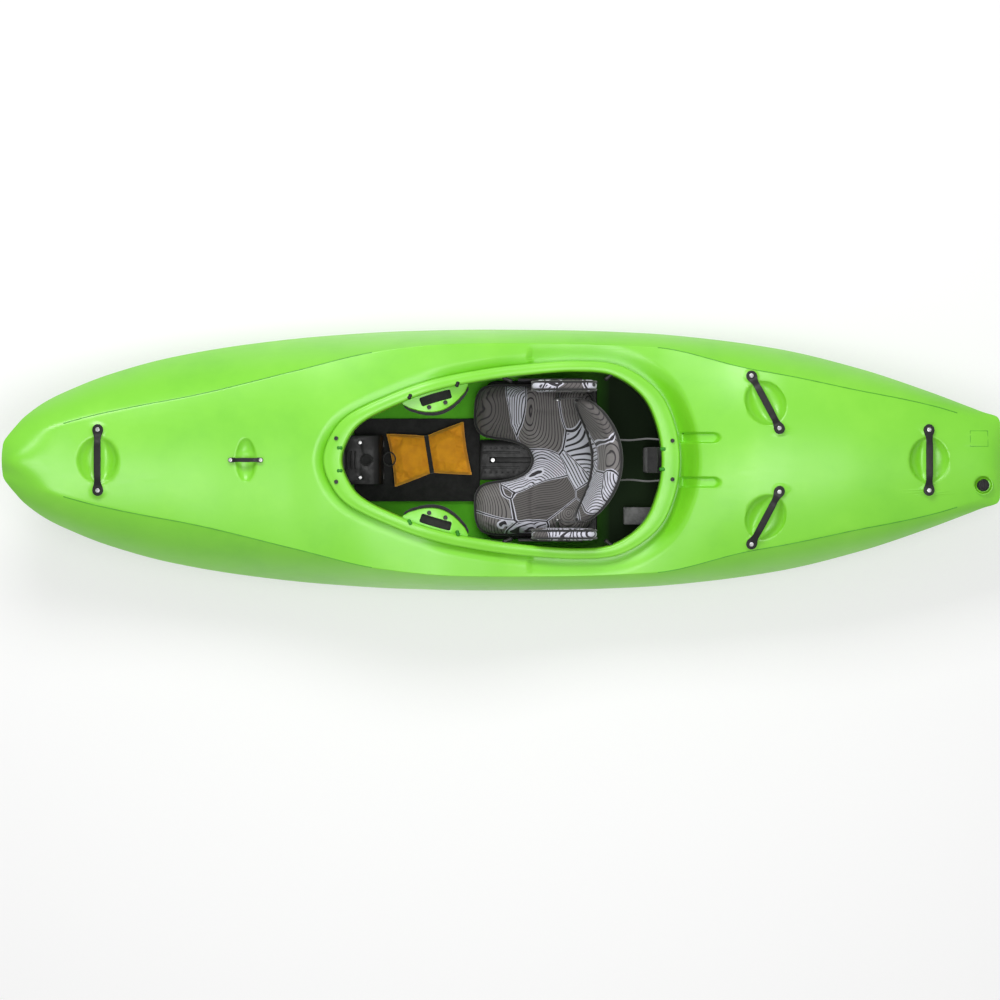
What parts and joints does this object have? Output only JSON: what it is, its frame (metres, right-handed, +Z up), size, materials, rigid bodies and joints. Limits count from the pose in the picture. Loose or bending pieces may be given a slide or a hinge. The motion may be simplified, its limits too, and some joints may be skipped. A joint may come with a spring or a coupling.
{
  "type": "whitewater kayak",
  "caption": "Decked whitewater kayak with an egg-shaped cockpit, padded outfitting with a sliding seat and footrest, folding backband, grab handles and a screw-in drain plug.",
  "frame": {"origin": "on the ground under the middle of the boat", "axes": "+X from bow to stern, +Y to port, +Z up"},
  "size_m": [2.7, 0.7198, 0.4175],
  "materials": {
    "hull_plastic": "rotomoulded lime green, satin",
    "black_plastic": "moulded black",
    "steel": "satin stainless",
    "black_screws": "black coated screws",
    "gasket": "soft black",
    "black_foam": "closed cell foam, matt black",
    "seat_fabric": "printed grey and charcoal covering",
    "webbing": "woven black",
    "pouch_fabric": "woven orange",
    "cord": "braided grey",
    "grey_foam": "closed cell foam, grey"
  },
  "bodies": {
    "hull": {"hull_shell": "hull_plastic", "bow_grab_handle": "black_plastic", "stern_grab_handle": "black_plastic", "rear_port_grab_handle": "black_plastic", "rear_starboard_grab_handle": "black_plastic", "bow_handle_bolt_starboard": "steel", "bow_handle_bolt_port": "steel", "stern_handle_bolt_starboard": "steel", "stern_handle_bolt_port": "steel", "rear_port_handle_bolt_starboard": "steel", "rear_port_handle_bolt_port": "steel", "rear_starboard_handle_bolt_starboard": "steel", "rear_starboard_handle_bolt_port": "steel", "deck_tie_bar": "black_plastic", "tie_bar_bolt_rear": "steel", "tie_bar_bolt_front": "steel", "rim_screw_1": "black_screws", "rim_screw_2": "black_screws", "rim_screw_3": "black_screws", "rim_screw_4": "black_screws", "drain_sleeve": "black_plastic", "bow_pillar": "black_foam", "stern_pillar": "black_foam", "floor_panel": "black_foam", "seat_track": "black_plastic", "track_screw": "steel", "footrest_rail_port": "steel", "footrest_rail_starboard": "steel", "gear_pouch": "pouch_fabric", "pouch_band": "webbing", "foam_block": "grey_foam"},
    "drain_gasket": {"drain_gasket": "gasket"},
    "drain_plug": {"drain_plug": "black_plastic"},
    "seat": {"seat_pan": "black_plastic", "seat_cushion": "seat_fabric", "hip_wall_starboard": "black_plastic", "hip_wall_port": "black_plastic", "hip_pad_starboard": "seat_fabric", "hip_pad_port": "seat_fabric", "backband_pivot_starboard": "steel", "backband_pivot_port": "steel"},
    "backband": {"backband_pad": "seat_fabric", "backband_carrier": "black_plastic", "backband_strap_starboard": "webbing", "backband_strap_port": "webbing", "backband_cord_starboard": "cord", "backband_cord_port": "cord"},
    "footrest": {"footrest_carriage": "black_plastic", "footrest_plate": "black_plastic", "footrest_pad": "black_foam", "footrest_screw_starboard": "steel", "footrest_screw_port": "steel"},
    "thigh_brace_port": {"thigh_brace_port": "hull_plastic", "thigh_pad_port": "black_foam", "thigh_brace_bolt_port_front": "black_screws", "thigh_brace_bolt_port_rear": "black_screws"},
    "thigh_brace_starboard": {"thigh_brace_starboard": "hull_plastic", "thigh_pad_starboard": "black_foam", "thigh_brace_bolt_starboard_front": "black_screws", "thigh_brace_bolt_starboard_rear": "black_screws"}
  },
  "joints": [
    {"name": "seat_slide", "type": "slide", "parent": "hull", "child": "seat", "axis": [1, 0, 0], "range_m": [-0.03, 0]},
    {"name": "backband_fold", "type": "hinge", "parent": "seat", "child": "backband", "pos_m": [0.15, 0, 0.13], "axis": [0, 1, 0], "range_deg": [-60, 0], "deforming": ["backband_cord_port", "backband_cord_starboard"]},
    {"name": "footrest_slide", "type": "slide", "parent": "hull", "child": "footrest", "axis": [1, 0, 0], "range_m": [-0.1, 0]},
    {"name": "thigh_brace_port_slide", "type": "slide", "parent": "hull", "child": "thigh_brace_port", "axis": [0.9613, 0.2214, -0.164], "range_m": [-0.006, 0.006]},
    {"name": "thigh_brace_starboard_slide", "type": "slide", "parent": "hull", "child": "thigh_brace_starboard", "axis": [0.9613, -0.2214, -0.164], "range_m": [-0.006, 0.006]},
    {"name": "drain_plug_lift", "type": "slide", "parent": "hull", "child": "drain_gasket", "axis": [0, 0, 1], "range_m": [0, 0.012]},
    {"name": "drain_plug_turn", "type": "hinge", "parent": "drain_gasket", "child": "drain_plug", "pos_m": [1.3014, -0.068, 0.32], "axis": [0, 0, 1], "range_deg": [0, 1080]}
  ],
  "couplings": [
    {"joint": "drain_plug_turn", "follows": "drain_plug_lift", "rad_per_m": 1570.8}
  ]
}
